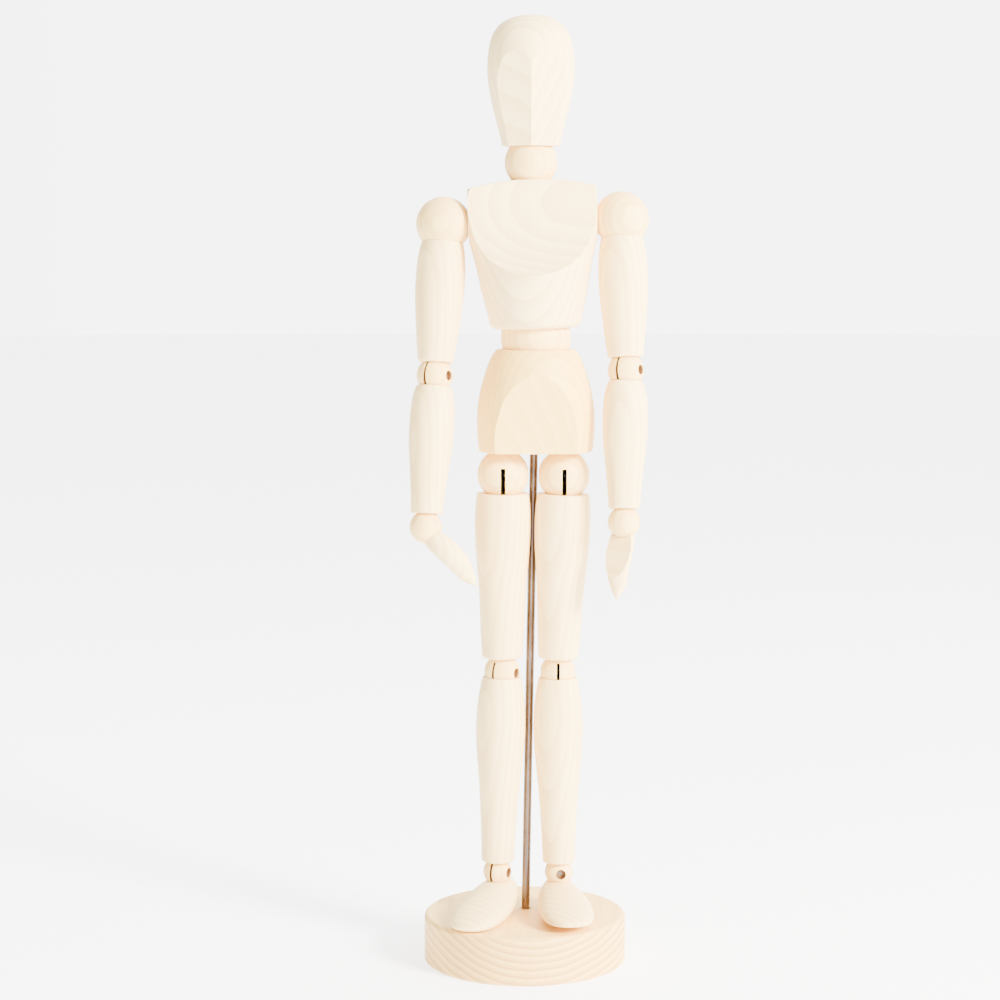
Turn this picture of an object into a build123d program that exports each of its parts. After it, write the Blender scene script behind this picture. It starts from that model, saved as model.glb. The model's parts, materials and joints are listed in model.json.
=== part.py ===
from build123d import *
import math
import os

# Wooden lay figure on a steel rod and a round base. Millimetres, +Z up, origin at the
# centre of the base's underside. The figure faces -Y, so its left hand is on the +X side.
os.makedirs("parts", exist_ok=True)

# ---- driving sizes -----------------------------------------------------------------
BASE_R = 32.2
BASE_H = 15.0
ROD_R = 1.32
ROD_LEAN = 0.96  # degrees, towards +X going up
ROD_X = 0.2
ROD_Y = 4.0
ROD_HOLE_R = 1.6
ROD_BOTTOM = 3.2
PELVIS_BOTTOM = 163.3
ROD_GRIP = 10.0

GAP = 0.15  # between a ball and the cup it turns in
PIN_R = 0.8
PIN_BORE_R = 0.82
PLUG_R = 1.6  # mouth of a pin hole
SLOT = 0.95  # saw cut in a limb's ball
HIP_SLOT = 1.4
WIRE = 0.3
SIDE = 0.19  # hook beside hook on one pin
LINK = 0.22  # half the step between two hooks that are linked
COIL_R = 1.5
TRUNK_WIRE = 0.5
TRUNK_COIL_R = 1.7
SPRING_BORE_R = 2.4
TRUNK_PIN_LENGTH = 12.0
HIP_PIN_RISE = 23.0
SPINE_PIN_DROP = 20.4
SPINE_SPAN = 44.6
NECK_PIN_DROP = 10.4
NECK_SPAN = 25.0

WAIST = Vector(3.3, 0, 198.9)
WAIST_R = 11.0
TORSO_TILT = 1.7  # degrees, left shoulder high
SHOULDER_X = 27.8
SHOULDER_Z = 36.3
SHOULDER_R = 8.6
SHOULDER_FLAT = 20.25
NECK_Z = 54.6
NECK_R = 8.2
HEAD_RISE = 5.0
HEAD_H = 40.3
FACE_TURN = math.radians(22)  # each of the face's two flats
FACE_SLOPE = 0.195

UPPER_ARM = 47.5  # ball centre to ball centre
FOREARM = 47.2
ELBOW_R = 5.65
WRIST_R = 5.05
ARM_FORWARD = 8.0
PALM = {-1: (34.5, 1.9), 1: (59.5, 2.4)}  # palm's turn in degrees and distance from the axis

HIP_R = 8.1
THIGH = 62.9
SHIN = 64.7
KNEE_R = 5.65
ANKLE_R = 4.5
LEG_Y = -1.0
SOLE_DROP = 12.2

NODES = {}


# ---- shared shapes -----------------------------------------------------------------
def cylinder_between(start, end, radius):
    start, end = Vector(*start), Vector(*end)
    plane = Plane(origin=start, z_dir=end - start)
    return plane * extrude(Circle(radius), (end - start).length)


def ball(radius, centre=(0, 0, 0)):
    return Pos(*centre) * Sphere(radius)


def turned(outline, top, bottom):
    """A turned piece about Z; outline runs from the top edge to the bottom edge as (radius, z)."""
    with BuildPart() as piece:
        with BuildSketch(Plane.XZ):
            with BuildLine():
                side = Spline(*outline)
                Polyline(side @ 1, (0, bottom), (0, top), side @ 0)
            make_face()
        revolve(axis=Axis.Z)
    return piece.part


def round_rim(piece, z, radius):
    rim = piece.edges().filter_by(GeomType.CIRCLE).filter_by(lambda e: abs(e.center().Z - z) < 0.02)
    return fillet(rim.sort_by(SortBy.RADIUS)[-1], radius)


def slab(azimuth, u_range, z_range, thickness):
    """A flat block on the upright plane that faces azimuth; u runs forwards along that plane."""
    u0, u1 = u_range
    z0, z1 = z_range
    block = Box(thickness, u1 - u0, z1 - z0)
    block = Pos(0, -(u0 + u1) / 2, (z0 + z1) / 2) * block
    return Rot(0, 0, azimuth) * block


def pin_length(radius):
    return 2 * (math.sqrt(radius**2 - PLUG_R**2) - 1.7)


def bored_for_pin(piece, radius, azimuth):
    """Cross hole for the pin, with a wider mouth at both ends."""
    half = pin_length(radius) / 2
    bore = Rot(0, 90, 0) * Cylinder(PIN_BORE_R, 2 * half)
    for side in (-1, 1):
        mouth = Rot(0, 90, 0) * Cylinder(PLUG_R, radius)
        bore += Pos(side * (half + radius / 2), 0, 0) * mouth
    return piece - Rot(0, 0, azimuth) * bore


def cross_pin(radius, azimuth):
    pin = Rot(0, 90, 0) * Cylinder(PIN_R, pin_length(radius))
    pin = chamfer(pin.edges().filter_by(GeomType.CIRCLE), 0.12)
    return Rot(0, 0, azimuth) * pin


def hook(coil_r, wire, leg, offset, over=True, tail=0.8):
    """A wire bent round the origin: a leg, a half turn over or under, and a short tail."""
    up = 1 if over else -1
    with BuildPart() as piece:
        with BuildLine(Plane.YZ) as path:
            Line((coil_r, -up * leg), (coil_r, 0))
            ThreePointArc((coil_r, 0), (0, up * coil_r), (-coil_r, 0))
            Line((-coil_r, 0), (-coil_r, -up * tail))
        with BuildSketch(Plane(origin=(0, coil_r, -up * leg), z_dir=(0, 0, up))):
            Circle(wire / 2)
        sweep(path=path.wire())
    return Pos(offset, 0, 0) * piece.part


def coil(coil_r, wire, top, bottom):
    """Close-wound turns, as one thin sleeve of the coil's own size."""
    winding = Cylinder(coil_r + wire / 2, top - bottom) - Cylinder(coil_r - wire / 2, top - bottom)
    return Pos(0, 0, (top + bottom) / 2) * winding


def tension_spring(span, coil_r, wire, gap_top, gap_bottom, az_top, az_bottom, side_top, side_bottom):
    """A coil hung between two pins at z = 0 and z = -span, with a hook round each."""
    top, bottom = -gap_top, -span + gap_bottom
    spring = coil(coil_r, wire, top, bottom)
    spring += Rot(0, 0, az_top) * hook(coil_r, wire, gap_top + wire, side_top)
    lower = Pos(0, 0, -span) * hook(coil_r, wire, gap_bottom + wire, side_bottom, over=False)
    spring += Rot(0, 0, az_bottom) * lower
    return spring


def keep(name, piece, place=None):
    piece = place * piece if place is not None else piece
    NODES[name] = piece


# ---- stand -------------------------------------------------------------------------
def build_stand():
    base = Pos(0, 0, BASE_H / 2) * Cylinder(BASE_R, BASE_H)
    base = round_rim(base, BASE_H, 1.4)
    base = round_rim(base, 0, 0.6)
    depth = BASE_H - ROD_BOTTOM + 0.3
    base -= Pos(ROD_X, ROD_Y, BASE_H - depth / 2 + 0.1) * Cylinder(ROD_HOLE_R, depth + 0.2)
    base -= Pos(ROD_X, ROD_Y, BASE_H - 0.25) * Cone(ROD_HOLE_R, ROD_HOLE_R + 0.5, 0.5)
    keep("base", base)

    top = PELVIS_BOTTOM + ROD_GRIP
    pivot_z = (ROD_BOTTOM + BASE_H) / 2
    rod = Pos(0, 0, (top + ROD_BOTTOM) / 2 - pivot_z) * Cylinder(ROD_R, top - ROD_BOTTOM)
    rod = chamfer(rod.edges().filter_by(GeomType.CIRCLE), 0.25)
    keep("support_rod", rod, rod_place())


def rod_place():
    pivot_z = (ROD_BOTTOM + BASE_H) / 2
    return Pos(ROD_X, ROD_Y, pivot_z) * Rot(0, ROD_LEAN, 0)


# ---- trunk -------------------------------------------------------------------------
def trunk_pin():
    pin = Pos(0, 0.5, 0) * Rot(90, 0, 0) * Cylinder(PIN_R, TRUNK_PIN_LENGTH)
    return chamfer(pin.edges().filter_by(GeomType.CIRCLE), 0.12)


def trunk_pin_bore(x, z):
    """Blind cross hole drilled from the back for a trunk pin."""
    return Pos(x, 10 + 0.5 - TRUNK_PIN_LENGTH / 2 - 0.05 + 5, z) * Rot(90, 0, 0) * Cylinder(PIN_BORE_R, 30)


def hips():
    return {"right": Vector(-7.0, LEG_Y, 156.0), "left": Vector(12.2, LEG_Y, 155.8)}


def build_pelvis():
    outline = [(12.4, 195.4), (14.4, 192.2), (16.2, 187.2), (17.6, 182.0), (18.4, 176.0), (18.5, 170.0)]
    outline += [(17.9, PELVIS_BOTTOM)]
    pelvis = turned(outline, 195.4, PELVIS_BOTTOM)
    pelvis = round_rim(pelvis, 195.4, 0.8)
    pelvis = round_rim(pelvis, PELVIS_BOTTOM, 0.5)
    pelvis = Pos(WAIST.X, 0, 0) * pelvis
    front = Plane(origin=(WAIST.X, -16.0, 187.6), z_dir=(0, -1, -0.145))
    pelvis -= front * Pos(0, 0, 10) * Box(60, 90, 20)
    back = Plane(origin=(WAIST.X, 16.6, 185.0), z_dir=(0, 1, -0.10))
    pelvis -= back * Pos(0, 0, 10) * Box(60, 90, 20)
    pelvis -= ball(WAIST_R + GAP, WAIST)
    pin_z = WAIST.Z - SPINE_PIN_DROP
    pelvis -= cylinder_between((WAIST.X, 0, pin_z - 2.6), (WAIST.X, 0, WAIST.Z), SPRING_BORE_R)
    pelvis -= trunk_pin_bore(WAIST.X, pin_z)
    for centre in hips().values():
        pelvis -= ball(HIP_R + GAP, centre)
        pelvis -= cylinder_between(centre, centre + Vector(0, 0, HIP_PIN_RISE + 2.6), SPRING_BORE_R)
        pelvis -= Pos(0, LEG_Y, 0) * trunk_pin_bore(centre.X, centre.Z + HIP_PIN_RISE)
    socket = Pos(0, 0, PELVIS_BOTTOM + ROD_GRIP / 2 - 9.0) * Cylinder(ROD_R + 0.07, ROD_GRIP + 0.3)
    pelvis -= rod_place() * Pos(0, 0, -0.05) * socket
    keep("pelvis", pelvis)

    pins = [Pos(WAIST.X, 0, pin_z) * trunk_pin()]
    springs = []
    for centre in hips().values():
        pins.append(Pos(centre.X, LEG_Y, centre.Z + HIP_PIN_RISE) * trunk_pin())
        spring = tension_spring(HIP_PIN_RISE, TRUNK_COIL_R, TRUNK_WIRE, 2.2, 9.6, 90, 0, 0, -0.3)
        springs.append(Pos(centre.X, centre.Y, centre.Z + HIP_PIN_RISE) * spring)
    keep("pelvis_pins", Compound(children=pins))
    keep("hip_springs", Compound(children=springs))

    waist = ball(WAIST_R) - Cylinder(SPRING_BORE_R + 0.4, 3 * WAIST_R)
    mouth = Pos(0, 0, WAIST_R - 2.2) * Cone(SPRING_BORE_R + 0.3, SPRING_BORE_R + 3.0, 5.0)
    for side in (0, 180):
        waist -= Rot(side, 0, 0) * mouth
    keep("waist_ball", waist, Pos(*WAIST))


def torso_place():
    return Pos(*WAIST) * Rot(0, -TORSO_TILT, 0)


def build_torso():
    outline = [(20.3, 46.9), (20.9, 44.5), (20.9, 38.0), (20.1, 31.0), (18.9, 26.0), (17.7, 20.5)]
    outline += [(16.4, 13.5), (14.9, 7.5), (14.1, 3.1)]
    with BuildPart() as body:
        with BuildSketch(Plane.XZ):
            with BuildLine():
                side = Spline(*outline)
                dome = ThreePointArc((0, 49.5), (10.5, 48.85), side @ 0)
                Polyline(side @ 1, (0, 3.1), (0, 49.5))
            make_face()
        revolve(axis=Axis.Z)
    torso = body.part
    torso = round_rim(torso, 46.9, 1.0)
    torso = round_rim(torso, 3.1, 2.2)
    for side in (-1, 1):
        torso -= Pos(side * (20.1 + 5), 0, 36) * Box(10, 60, 40)
    with BuildPart() as chest:
        with BuildSketch(Plane.YZ):
            with BuildLine():
                scoop = ThreePointArc((-18.4, 19.0), (-10.6, 28.0), (-7.7, 52.0))
                Polyline(scoop @ 1, (-40, 52.0), (-40, 19.0), scoop @ 0)
            make_face()
        extrude(amount=30, both=True)
    torso -= chest.part
    back = Plane(origin=(0, 15.6, 22.0), z_dir=(0, 1, 0.27))
    torso -= back * Pos(0, 0, 10) * Box(60, 90, 20)
    torso -= ball(WAIST_R + GAP)
    torso -= ball(NECK_R + GAP, (0, 0, NECK_Z))
    spine_z = SPINE_SPAN - SPINE_PIN_DROP
    neck_z = NECK_Z - NECK_PIN_DROP
    torso -= cylinder_between((0, 0, 0), (0, 0, spine_z + 2.6), SPRING_BORE_R)
    torso -= cylinder_between((0, 0, neck_z - 2.6), (0, 0, NECK_Z), SPRING_BORE_R)
    torso -= cylinder_between((-25, 0, SHOULDER_Z), (25, 0, SHOULDER_Z), SPRING_BORE_R)
    torso -= trunk_pin_bore(0, spine_z)
    torso -= trunk_pin_bore(0, neck_z)
    keep("torso", torso, torso_place())
    pins = [torso_place() * Pos(0, 0, z) * trunk_pin() for z in (spine_z, neck_z)]
    keep("torso_pins", Compound(children=pins))

    spine = tension_spring(SPINE_SPAN, TRUNK_COIL_R, TRUNK_WIRE, 3.0, 3.0, 90, 90, 0, 0)
    keep("spine_spring", spine, Pos(*WAIST) * Rot(0, -TORSO_TILT / 2, 0) * Pos(0, 0, spine_z))
    shoulder = tension_spring(2 * SHOULDER_X, TRUNK_COIL_R, TRUNK_WIRE, 11.0, 11.0, 0, 0, 0.3, 0.3)
    lie = Rot(-ARM_FORWARD, 0, 0) * Rot(0, 90, 0) * Rot(0, 0, 90)
    keep("shoulder_spring", shoulder, torso_place() * Pos(SHOULDER_X, 0, SHOULDER_Z) * lie)


def neck_place():
    return torso_place() * Pos(0, 0, NECK_Z) * Rot(0, TORSO_TILT, 0)


def build_neck_and_head():
    neck = ball(NECK_R) - Cylinder(SPRING_BORE_R + 0.3, 3 * NECK_R)
    mouth = Pos(0, 0, NECK_R - 1.6) * Cone(SPRING_BORE_R + 0.2, SPRING_BORE_R + 1.9, 4.0)
    for side in (0, 180):
        neck -= Rot(side, 0, 0) * mouth
    keep("neck_ball", neck, neck_place())

    outline = [(8.95, 0.0), (10.25, 5.5), (11.55, 10.6), (12.75, 16.0), (13.5, 21.0), (13.6, 25.6)]
    outline += [(13.0, 30.9), (11.7, 34.8), (9.3, 37.7), (5.6, 39.6), (0, HEAD_H)]
    with BuildPart() as body:
        with BuildSketch(Plane.XZ):
            with BuildLine():
                side = Spline(*outline, tangents=[(0.22, 1), (-1, 0)])
                Polyline(side @ 1, (0, 0), side @ 0)
            make_face()
        revolve(axis=Axis.Z)
    head = round_rim(body.part, 0, 0.4)
    for side in (-1, 1):
        facing = Vector(side * math.sin(FACE_TURN), -math.cos(FACE_TURN), -FACE_SLOPE)
        plane = Plane(origin=(0, 0, 0), z_dir=facing)
        head -= plane * Pos(0, 0, 7.8 / math.sqrt(1 + FACE_SLOPE**2) + 15) * Box(80, 120, 30)
    head -= ball(NECK_R + GAP, (0, 0, -HEAD_RISE))
    pin_z = NECK_SPAN - NECK_PIN_DROP - HEAD_RISE
    head -= cylinder_between((0, 0, -HEAD_RISE), (0, 0, pin_z + 2.6), SPRING_BORE_R)
    head -= trunk_pin_bore(0, pin_z)
    place = neck_place() * Pos(0, 0, HEAD_RISE)
    keep("head", head, place)
    keep("head_pin", trunk_pin(), place * Pos(0, 0, pin_z))
    spring = tension_spring(NECK_SPAN, TRUNK_COIL_R, TRUNK_WIRE, 3.0, 3.0, 90, 90, 0, 0)
    lie = Rot(0, -TORSO_TILT / 2, 0) * Pos(0, 0, NECK_SPAN - NECK_PIN_DROP)
    keep("neck_spring", spring, neck_place() * lie)


# ---- limbs -------------------------------------------------------------------------
def elbow_ball(azimuth):
    """Ball with a saw cut open at the front, top and bottom, and a pin across the cut."""
    far = ELBOW_R + 1
    piece = ball(ELBOW_R) - slab(azimuth, (-COIL_R - 0.6, far), (-far, far), SLOT)
    return bored_for_pin(piece, ELBOW_R, azimuth)


def leg_ball(radius, azimuth, slot, crown, well, back):
    """Ball sawn from the front and below up to the height crown, with a short slot from the top."""
    far = radius + 1
    piece = ball(radius) - slab(azimuth, (-back, far), (-far, crown), slot)
    piece -= slab(azimuth, (-well, well), (0, far), slot)
    return bored_for_pin(piece, radius, azimuth)


def shoulder_ball(side):
    """Ball with a flat towards the torso and a saw cut open outwards and downwards."""
    out = 90 * side
    piece = ball(SHOULDER_R)
    flat = SHOULDER_X - SHOULDER_FLAT
    piece -= Pos(-side * (flat + 5), 0, 0) * Box(10, 30, 30)
    piece -= slab(out, (-2.3, SHOULDER_R + 1), (-SHOULDER_R - 1, 2.3), HIP_SLOT)
    piece -= slab(out, (-SHOULDER_R - 1, 0), (-2.3, 2.3), HIP_SLOT + 0.5)
    half = pin_length(SHOULDER_R) / 2
    piece -= Pos(0, 5, 0) * Rot(90, 0, 0) * Cylinder(PIN_BORE_R, 2 * half + 10)
    return piece


def limb(outline, upper_r, lower_z, lower_r, end_round, bore_r=SPRING_BORE_R):
    """A turned limb with a cup at each end and a bore for its spring."""
    top, bottom = outline[0][1], outline[-1][1]
    piece = turned(outline, top, bottom)
    piece = round_rim(piece, top, 0.3)
    piece = round_rim(piece, bottom, end_round)
    piece -= ball(upper_r + GAP)
    piece -= ball(lower_r + GAP, (0, 0, lower_z))
    return piece - cylinder_between((0, 0, lower_z), (0, 0, 0), bore_r)


def upper_arm():
    outline = [(6.5, -5.8), (7.3, -10.0), (7.7, -16.5), (7.6, -23.0), (7.1, -29.0)]
    outline += [(6.5, -35.0), (5.5, -43.5)]
    return limb(outline, SHOULDER_R, -UPPER_ARM, ELBOW_R, 0.9)


def forearm():
    outline = [(5.4, -3.3), (6.45, -6.8), (6.95, -12.5), (6.95, -20.0), (6.2, -28.0)]
    outline += [(5.45, -35.5), (4.95, -43.1)]
    return limb(outline, ELBOW_R, -FOREARM, WRIST_R, 0.5)


def thigh():
    outline = [(8.15, -5.9), (8.75, -12.0), (8.75, -19.0), (8.3, -26.5), (7.55, -35.0)]
    outline += [(7.05, -45.0), (6.3, -58.4)]
    return limb(outline, HIP_R, -THIGH, KNEE_R, 1.1)


def shin():
    outline = [(6.1, -1.6), (7.35, -9.0), (7.85, -18.0), (7.4, -27.0), (6.25, -39.5)]
    outline += [(5.5, -52.0), (5.15, -61.3)]
    return limb(outline, KNEE_R, -SHIN, ANKLE_R, 0.5)


def hand(side):
    """Flat-palmed leaf with a pointed tip, hung from the wrist ball's centre."""
    outline = [(3.4, -3.5), (4.3, -6.8), (4.65, -10.0), (4.3, -13.7), (3.1, -18.3), (1.5, -22.0), (0, -24.4)]
    with BuildPart() as body:
        with BuildSketch(Plane.XZ):
            with BuildLine():
                edge = Spline(*outline)
                Polyline(edge @ 1, (0, -3.5), edge @ 0)
            make_face()
        revolve(axis=Axis.Z)
    leaf = round_rim(body.part, -3.5, 0.3)
    turn, depth = PALM[side]
    facing = (math.sin(math.radians(turn)), -math.cos(math.radians(turn)))
    palm = Plane(origin=(facing[0] * depth, facing[1] * depth, -12.0), z_dir=(*facing, 0.16))
    leaf -= palm * Pos(0, 0, 10) * Box(40, 60, 20)
    back = Plane(origin=(0, 3.2, -12.0), z_dir=(0, 1, -0.10))
    leaf -= back * Pos(0, 0, 10) * Box(40, 60, 20)
    leaf -= ball(WRIST_R + GAP)
    for u in (-COIL_R, COIL_R):
        leaf -= Pos(0, u, -7.2) * Cylinder(WIRE / 2 + 0.02, 8.0)
    return leaf


def wrist_ball(azimuth):
    piece = ball(WRIST_R)
    piece -= slab(azimuth, (-COIL_R - 0.6, WRIST_R + 1), (-WRIST_R - 1, COIL_R + 0.7), 0.7)
    piece -= Pos(0, 0, WRIST_R / 2 - 0.5) * Cylinder(COIL_R + 0.45, WRIST_R + 1)
    return piece


def staple(rise, leg):
    """Wire loop over the ball's centre with both ends let into the hand or the foot."""
    loop = hook(COIL_R, WIRE, leg + rise, 0, over=True, tail=leg + rise)
    return Pos(0, 0, rise) * loop


def foot():
    """Rounded foot, toes towards -Y, with a flat sole."""
    steps = 12
    length, heel = 37.0, 9.5
    sections = []
    for i in range(steps + 1):
        turn = math.pi * i / steps
        along = (1 - math.cos(turn)) / 2
        swell = math.sin(turn) ** 0.8
        half_width = (6.6 + 3.2 * along) * swell
        crest = -0.2 - 8.6 * along**1.25
        low = -SOLE_DROP - 2.5
        middle = (0, heel - along * length, (crest + low) / 2)
        plane = Plane(origin=middle, x_dir=(1, 0, 0), z_dir=(0, -1, 0))
        if 0 < i < steps:
            sections.append((plane * Ellipse(half_width, (crest - low) / 2 * swell**0.75)).face())
        else:
            sections.append(Vertex(*plane.origin))
    body = loft(sections)
    body -= Pos(0, 0, -SOLE_DROP - 10) * Box(60, 90, 20)
    body = fillet(body.faces().filter_by(GeomType.PLANE)[0].edges(), 0.8)
    body -= Pos(0, 0, 5 - 2.2) * Box(60, 60, 10)
    body -= ball(ANKLE_R + GAP)
    return body


def build_arm(name, side, upper_lean, fore_lean, elbow_turn, hand_bend, hand_turn):
    forward = Rot(-ARM_FORWARD, 0, 0)
    shoulder = torso_place() * Pos(side * SHOULDER_X, 0, SHOULDER_Z) * forward
    keep(name + "_shoulder_ball", shoulder_ball(side), shoulder)
    keep(name + "_shoulder_pin", Rot(0, 0, 90) * cross_pin(SHOULDER_R, 0), shoulder)

    arm = Pos(*shoulder.position) * forward * Rot(0, -side * upper_lean, 0)
    keep(name + "_upper_arm", upper_arm(), arm)
    spring = tension_spring(UPPER_ARM, COIL_R, WIRE, 11.0, 7.5, 90, elbow_turn, -0.3, SIDE)
    keep(name + "_upper_arm_spring", spring, arm)

    centre = Pos(*(arm * Pos(0, 0, -UPPER_ARM)).position) * forward
    elbow = centre * Rot(0, -side * fore_lean, 0)
    joint = centre * Rot(0, -side * (upper_lean + fore_lean) / 2, 0)
    keep(name + "_elbow_ball", elbow_ball(elbow_turn), joint)
    keep(name + "_elbow_pin", cross_pin(ELBOW_R, elbow_turn), joint)
    keep(name + "_forearm", forearm(), elbow)
    span = FOREARM - COIL_R + LINK
    spring = tension_spring(span, COIL_R, WIRE, 7.5, 6.0, elbow_turn, hand_turn + 90, -SIDE, 0)
    keep(name + "_forearm_spring", spring, elbow)

    wrist = elbow * Pos(0, 0, -FOREARM)
    keep(name + "_wrist_ball", wrist_ball(hand_turn), wrist)
    palm = wrist * Rot(0, 0, hand_turn) * Rot(-hand_bend, 0, 0)
    keep(name + "_hand", hand(side), palm)
    keep(name + "_hand_hook", staple(LINK - COIL_R, 8.4), palm)


def build_leg(name, hip, lean, shin_lean, knee_turn, ankle_turn, toe_out, toe_up):
    centre = Pos(*hip)
    keep(name + "_hip_ball", leg_ball(HIP_R, 0, HIP_SLOT, 2.4, 2.4, 4.5), centre)
    keep(name + "_hip_pin", cross_pin(HIP_R, 0), centre)
    leg = centre * Rot(0, lean, 0)
    keep(name + "_thigh", thigh(), leg)
    spring = tension_spring(THIGH, COIL_R, WIRE, 10.0, 7.5, 0, knee_turn, 0.3, SIDE)
    keep(name + "_thigh_spring", spring, leg)

    centre = Pos(*(leg * Pos(0, 0, -THIGH)).position)
    knee = centre * Rot(0, shin_lean, 0)
    joint = centre * Rot(0, (lean + shin_lean) / 2, 0)
    keep(name + "_knee_ball", leg_ball(KNEE_R, knee_turn, SLOT, 3.5, 2.0, 3.2), joint)
    keep(name + "_knee_pin", cross_pin(KNEE_R, knee_turn), joint)
    keep(name + "_shin", shin(), knee)
    spring = tension_spring(SHIN, COIL_R, WIRE, 7.5, 6.5, knee_turn, ankle_turn, -SIDE, SIDE)
    keep(name + "_shin_spring", spring, knee)

    ankle = knee * Pos(0, 0, -SHIN)
    joint = Pos(*ankle.position) * Rot(0, shin_lean / 2, 0)
    keep(name + "_ankle_ball", leg_ball(ANKLE_R, ankle_turn, SLOT, 3.0, 2.0, ANKLE_R + 1), joint)
    keep(name + "_ankle_pin", cross_pin(ANKLE_R, ankle_turn), joint)
    tread = Pos(*ankle.position) * Rot(0, 0, toe_out) * Rot(-toe_up, 0, 0)
    link = Pos(*ankle.position) * Rot(0, 0, ankle_turn) * Pos(-SIDE, 0, 0)
    sole = tread * foot()
    for u in (-COIL_R, COIL_R):
        sole -= link * Pos(0, u, -6.0) * Cylinder(WIRE / 2 + 0.02, 8.0)
    keep(name + "_foot", sole)
    keep(name + "_foot_hook", staple(0, 7.0), link)


def build():
    build_stand()
    build_pelvis()
    build_torso()
    build_neck_and_head()
    build_arm("right", -1, 3.3, 3.3, -34, 44, 90)
    build_arm("left", 1, 1.5, -0.8, -34, 5, -90)
    spots = hips()
    build_leg("right", spots["right"], 0.3, 1.3, -32, -30, -22, -1.5)
    build_leg("left", spots["left"], 1.6, -0.4, 0, -82, 8, 3.0)
    for name, piece in NODES.items():
        piece.label = name
        export_step(piece, f"parts/{name}.step")
    print(len(NODES), "nodes")


build()
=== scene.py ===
import bpy
import json
import math
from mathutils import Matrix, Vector


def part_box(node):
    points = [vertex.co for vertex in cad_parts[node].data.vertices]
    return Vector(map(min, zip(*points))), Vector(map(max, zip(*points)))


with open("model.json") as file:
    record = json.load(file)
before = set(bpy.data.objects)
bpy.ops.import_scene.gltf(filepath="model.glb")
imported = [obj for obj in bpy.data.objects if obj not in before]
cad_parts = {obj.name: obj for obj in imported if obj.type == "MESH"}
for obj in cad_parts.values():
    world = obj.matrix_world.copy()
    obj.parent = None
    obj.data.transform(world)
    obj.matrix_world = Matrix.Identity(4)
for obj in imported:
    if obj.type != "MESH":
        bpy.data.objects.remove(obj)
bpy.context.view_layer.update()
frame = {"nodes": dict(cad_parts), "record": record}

NODES = frame["nodes"]

# ---- settings: metres and degrees --------------------------------------------------
CAMERA_AT = (-0.00796, -0.770, 0.226)
CAMERA_DOWN = 5.8
LENS = 88.2
WORLD_STRENGTH = 6.5
SIDE_DIM = 0.2  # the world's share of light from the figure's right
FRONT_DIM = 0.3  # the world's share of light from the front
KEY_WATTS = 115.0
KEY_AT = (0.85, -0.75, 0.65)
KEY_SIZE = 0.4
FIGURE_MIDDLE = (0, 0, 0.15)
FLOOR_RADIUS = 6
FLOOR_DROP = 0.0002
FLOOR_GLOW = 2.4

LIMB = (0.95, 0.71, 0.32)
TRUNK = (0.95, 0.73, 0.36)
PELVIS = (0.93, 0.63, 0.17)
BALL = (0.94, 0.66, 0.24)
BASE = (0.90, 0.58, 0.17)
GRAIN = (0.62, 0.34, 0.08)
BASE_GRAIN = (0.50, 0.22, 0.05)
# painted shade for the saw cuts and holes inside the balls
CUT_SHADE = (0.22, 0.10, 0.035)
WARMTH = (1.0, 0.97, 0.915)
WOOD_ROUGH = 0.5
WOOD_SPECULAR = 0.3
RING = 0.0021  # width of a growth ring
BASE_RING = 0.0024
SAWN_BALLS = ("hip_ball", "knee_ball", "ankle_ball", "elbow_ball", "wrist_ball")


# ---- studio ------------------------------------------------------------------------
def add_camera():
    data = bpy.data.cameras.new("Camera")
    data.lens = LENS
    data.sensor_width = 36.0
    data.clip_end = 20
    camera = bpy.data.objects.new("Camera", data)
    camera.location = CAMERA_AT
    camera.rotation_euler = (math.radians(90 - CAMERA_DOWN), 0, 0)
    bpy.context.scene.collection.objects.link(camera)
    bpy.context.scene.camera = camera


def add_key_light():
    data = bpy.data.lights.new("key", "AREA")
    data.shape = "DISK"
    data.size = KEY_SIZE
    data.energy = KEY_WATTS
    data.color = (1.0, 0.97, 0.93)
    light = bpy.data.objects.new("key", data)
    light.location = KEY_AT
    towards = Vector(FIGURE_MIDDLE) - Vector(KEY_AT)
    light.rotation_euler = towards.to_track_quat("-Z", "Y").to_euler()
    bpy.context.scene.collection.objects.link(light)


def add_floor():
    below = (0, 0, -FLOOR_DROP)
    bpy.ops.mesh.primitive_circle_add(vertices=96, radius=FLOOR_RADIUS, fill_type="NGON", location=below)
    floor = bpy.context.object
    floor.name = "floor"
    paper = new_material("floor_paper")
    shader = colour_and_rough(paper, (0.90, 0.90, 0.90), 0.9)
    shader.inputs["Emission Color"].default_value = (1, 1, 1, 1)
    shader.inputs["Emission Strength"].default_value = FLOOR_GLOW
    floor.data.materials.append(paper)


def add_world():
    """White all round, dimmer on the figure's right and in front of it."""
    world = bpy.data.worlds.new("Studio")
    world.use_nodes = True
    where = add_node(world, "ShaderNodeTexCoord")
    split = add_node(world, "ShaderNodeSeparateXYZ")
    link(world, where.outputs["Generated"], split.inputs["Vector"])
    sideways = scaled(world, split.outputs["X"], 0.5, 0.5)
    backwards = scaled(world, split.outputs["Y"], 0.5, 0.5)
    across = ramp(world, sideways, grey(SIDE_DIM, 1.0, (0.2, 0.42)))
    along = ramp(world, backwards, grey(FRONT_DIM, 1.0, (0.15, 0.75)))
    both = mixed(world, 1.0, across, along, "MULTIPLY")
    background = world.node_tree.nodes["Background"]
    link(world, both, background.inputs["Color"])
    background.inputs["Strength"].default_value = WORLD_STRENGTH
    bpy.context.scene.world = world


# ---- shader helpers ----------------------------------------------------------------
def new_material(name):
    material = bpy.data.materials.new(name)
    material.use_nodes = True
    return material


def principled(material):
    return material.node_tree.nodes["Principled BSDF"]


def colour_and_rough(material, colour, rough):
    shader = principled(material)
    shader.inputs["Base Color"].default_value = (*colour, 1)
    shader.inputs["Roughness"].default_value = rough
    return shader


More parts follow.
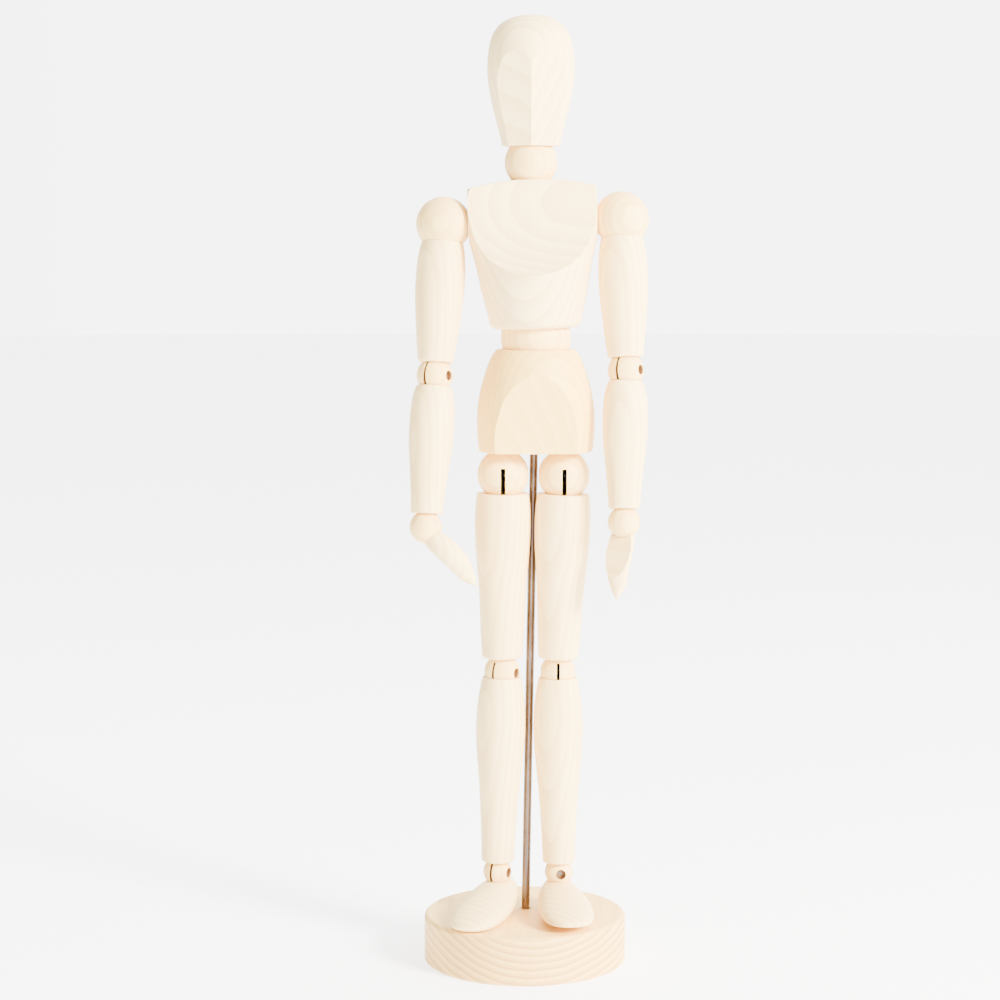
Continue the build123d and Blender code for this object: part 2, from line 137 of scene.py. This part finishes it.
def add_node(material, kind, **settings):
    """A new shader node; material may be a world too."""
    node = material.node_tree.nodes.new(kind)
    for key, value in settings.items():
        setattr(node, key, value)
    return node


def link(material, source, target):
    material.node_tree.links.new(source, target)


def placed(material, scale, at=(0, 0, 0), turn=(0, 0, 0)):
    """Object coordinates, moved, turned and stretched."""
    where = add_node(material, "ShaderNodeTexCoord")
    mapping = add_node(material, "ShaderNodeMapping")
    mapping.inputs["Location"].default_value = at
    mapping.inputs["Rotation"].default_value = [math.radians(a) for a in turn]
    mapping.inputs["Scale"].default_value = scale
    link(material, where.outputs["Object"], mapping.inputs["Vector"])
    return mapping.outputs["Vector"]


def noise(material, vector, scale, detail=3.0, rough=0.5):
    node = add_node(material, "ShaderNodeTexNoise")
    node.inputs["Scale"].default_value = scale
    node.inputs["Detail"].default_value = detail
    node.inputs["Roughness"].default_value = rough
    link(material, vector, node.inputs["Vector"])
    return node.outputs["Fac"]


def ramp(material, value, stops):
    """The colour for a value between two stops, each (position, colour)."""
    node = add_node(material, "ShaderNodeValToRGB")
    for element, (position, colour) in zip(node.color_ramp.elements, stops):
        element.position = position
        element.color = (*colour, 1)
    link(material, value, node.inputs["Fac"])
    return node.outputs["Color"]


def mixed(material, factor, a, b, blend="MIX"):
    node = add_node(material, "ShaderNodeMix", data_type="RGBA", blend_type=blend)
    if isinstance(factor, float):
        node.inputs["Factor"].default_value = factor
    else:
        link(material, factor, node.inputs["Factor"])
    for socket, value in ((6, a), (7, b)):
        if isinstance(value, tuple):
            node.inputs[socket].default_value = (*value, 1)
        else:
            link(material, value, node.inputs[socket])
    return node.outputs[2]


def scaled(material, value, factor, plus=0.0):
    node = add_node(material, "ShaderNodeMath", operation="MULTIPLY_ADD")
    link(material, value, node.inputs[0])
    node.inputs[1].default_value = factor
    node.inputs[2].default_value = plus
    return node.outputs["Value"]


def bumped(material, height, strength, distance):
    node = add_node(material, "ShaderNodeBump")
    node.inputs["Strength"].default_value = strength
    node.inputs["Distance"].default_value = distance
    link(material, height, node.inputs["Height"])
    link(material, node.outputs["Normal"], principled(material).inputs["Normal"])


def grey(low, high, at):
    """Two stops for a ramp, from grey low to grey high."""
    return [(at[0], (low,) * 3), (at[1], (high,) * 3)]


# ---- materials ---------------------------------------------------------------------
def growth_rings(material, spacing, centre, turn, direction, wander):
    """0 to 1 across each growth ring, spacing in metres, about an axis through centre."""
    node = add_node(material, "ShaderNodeTexWave", wave_type="RINGS", wave_profile="SAW")
    node.rings_direction = direction
    node.inputs["Scale"].default_value = 0.314 / spacing
    node.inputs["Distortion"].default_value = wander
    node.inputs["Detail"].default_value = 2.0
    node.inputs["Detail Scale"].default_value = 0.25
    link(material, placed(material, (1, 1, 1), [-c for c in centre], turn), node.inputs["Vector"])
    return node.outputs["Color"]


def fine_wood(material, tone, light, dark, stretch, shift, lean):
    """Adds streaks, pores and a slow change of warmth to tone, and a little relief."""
    shader = principled(material)
    streaks = noise(material, placed(material, stretch, shift, lean), 700, 4.0, 0.6)
    pores = noise(material, placed(material, stretch, shift, lean), 3400, 2.0, 0.5)
    cloud = noise(material, placed(material, (1, 1, 0.5), shift), 38, 2.0, 0.5)
    middle = tuple(0.6 * a + 0.4 * b for a, b in zip(light, dark))
    tone = mixed(material, ramp(material, streaks, grey(0.0, 0.5, (0.45, 0.80))), tone, middle)
    tone = mixed(material, ramp(material, pores, grey(0.0, 0.3, (0.60, 0.85))), tone, dark)
    tone = mixed(material, ramp(material, cloud, grey(0.0, 1.0, (0.35, 0.7))), tone, WARMTH, "MULTIPLY")
    link(material, tone, shader.inputs["Base Color"])
    link(material, ramp(material, streaks, grey(0.46, 0.60, (0.3, 0.7))), shader.inputs["Roughness"])
    bumped(material, pores, 0.10, 0.0001)


def plain_wood(name, light):
    material = new_material(name)
    shader = colour_and_rough(material, light, WOOD_ROUGH)
    shader.inputs["Specular IOR Level"].default_value = WOOD_SPECULAR
    return material


def turned_wood(name, light, dark, seed):
    """Pale close-grained wood cut along the trunk; seed moves it to another part of the tree."""
    material = plain_wood(name, light)
    shift = (0.031 + 0.007 * seed, 0.024 - 0.005 * seed, 0.013 * seed)
    lean = (1.0 + seed % 3, -1.2 * (seed % 4), 0)
    centre = (0.07 - 0.011 * seed, 0.05 + 0.004 * seed, 0)
    rings = growth_rings(material, RING, centre, lean, "Z", 1.6)
    tone = mixed(material, ramp(material, rings, grey(0.0, 0.32, (0.2, 1.0))), light, dark)
    fine_wood(material, tone, light, dark, (1, 1, 0.05), shift, lean)
    return material


def base_wood():
    """The base is cut along the trunk, so its rings show as nested bows on the rim's front."""
    material = plain_wood("base_wood_0", BASE)
    rings = growth_rings(material, BASE_RING, (0.004, 0, 0.050), (0, 0, 3), "Y", 5.0)
    split = add_node(material, "ShaderNodeSeparateXYZ")
    link(material, placed(material, (1, 1, 1)), split.inputs["Vector"])
    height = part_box("base")[1][2]
    rise = scaled(material, split.outputs["Z"], 1 / height)
    fade = ramp(material, rise, grey(0.75, 0.16, (0.93, 0.985)))
    depth = mixed(material, 1.0, ramp(material, rings, grey(0.0, 1.0, (0.25, 1.0))), fade, "MULTIPLY")
    tone = mixed(material, depth, BASE, BASE_GRAIN)
    fine_wood(material, tone, BASE, BASE_GRAIN, (1, 0.05, 1), (0.02, 0.01, 0.03), (0, 0, 3))
    return material


def paint_shade_in_cuts(material, centre, radius):
    """Painted shade: saw cuts and holes inside a ball take a dark colour for the shade in them, its own
    surface doesn't.
    """
    base = principled(material).inputs["Base Color"]
    tone = base.links[0].from_socket
    away = add_node(material, "ShaderNodeVectorMath", operation="DISTANCE")
    link(material, placed(material, (1, 1, 1)), away.inputs[0])
    away.inputs[1].default_value = centre
    share = scaled(material, away.outputs["Value"], 1 / radius)
    # painted shade: surfaces well inside the ball's skin take the dark colour
    inside = ramp(material, share, grey(1.0, 0.0, (0.90, 0.985)))
    link(material, mixed(material, inside, tone, CUT_SHADE), base)
    return material


def rod_steel():
    material = new_material("rod_steel")
    shader = colour_and_rough(material, (0.28, 0.22, 0.18), 0.3)
    shader.inputs["Metallic"].default_value = 1.0
    drawn = noise(material, placed(material, (1, 1, 0.01)), 5200, 2.0)
    stain = noise(material, placed(material, (1, 1, 0.3)), 160, 3.0)
    tone = ramp(material, stain, [(0.35, (0.12, 0.088, 0.072)), (0.7, (0.21, 0.178, 0.168))])
    link(material, tone, shader.inputs["Base Color"])
    link(material, ramp(material, drawn, grey(0.2, 0.42, (0.3, 0.7))), shader.inputs["Roughness"])
    bumped(material, drawn, 0.1, 0.00005)
    return material


def dull_steel(name, colour, rough):
    material = new_material(name)
    shader = colour_and_rough(material, colour, rough)
    shader.inputs["Metallic"].default_value = 1.0
    specks = noise(material, placed(material, (1, 1, 1)), 1800, 3.0)
    dark = tuple(0.6 * c for c in colour)
    link(material, ramp(material, specks, [(0.4, dark), (0.65, colour)]), shader.inputs["Base Color"])
    uneven = ramp(material, specks, grey(rough - 0.1, rough + 0.15, (0.3, 0.7)))
    link(material, uneven, shader.inputs["Roughness"])
    return material


def make_materials():
    return {
        "rod_steel": [rod_steel()],
        "pin_steel": [dull_steel("pin_steel", (0.30, 0.25, 0.20), 0.5)],
        "spring_steel": [dull_steel("spring_steel", (0.06, 0.045, 0.035), 0.6)],
        "limb_wood": [turned_wood("limb_wood_%d" % i, LIMB, GRAIN, i) for i in range(4)],
        "trunk_wood": [turned_wood("trunk_wood_%d" % i, TRUNK, GRAIN, i + 4) for i in range(2)],
        "ball_wood": [turned_wood("ball_wood_%d" % i, BALL, GRAIN, i + 6) for i in range(3)],
        "base_wood": [base_wood()],
    }


def own_materials():
    """The pelvis is yellower than the torso, and each sawn ball gets painted shade in its cuts and
    holes.
    """
    own = {"pelvis": turned_wood("pelvis_wood", PELVIS, GRAIN, 11)}
    for index, name in enumerate(sorted(NODES)):
        if name.endswith(SAWN_BALLS):
            low, high = (Vector(corner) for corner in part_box(name))
            wood = turned_wood(name + "_wood", BALL, GRAIN, index % 9)
            own[name] = paint_shade_in_cuts(wood, (low + high) / 2, (high.z - low.z) / 2)
    return own


def paint():
    """Neighbouring pieces of one slot take turns with its materials."""
    made = make_materials()
    own = own_materials()
    slots = {part["node"]: part["material_slot"] for part in frame["record"]["subparts"]}
    for index, name in enumerate(sorted(NODES)):
        choices = made[slots[name]]
        node = NODES[name]
        node.data.materials.clear()
        node.data.materials.append(own.get(name, choices[index % len(choices)]))


add_camera()
add_floor()
add_world()
add_key_light()
paint()
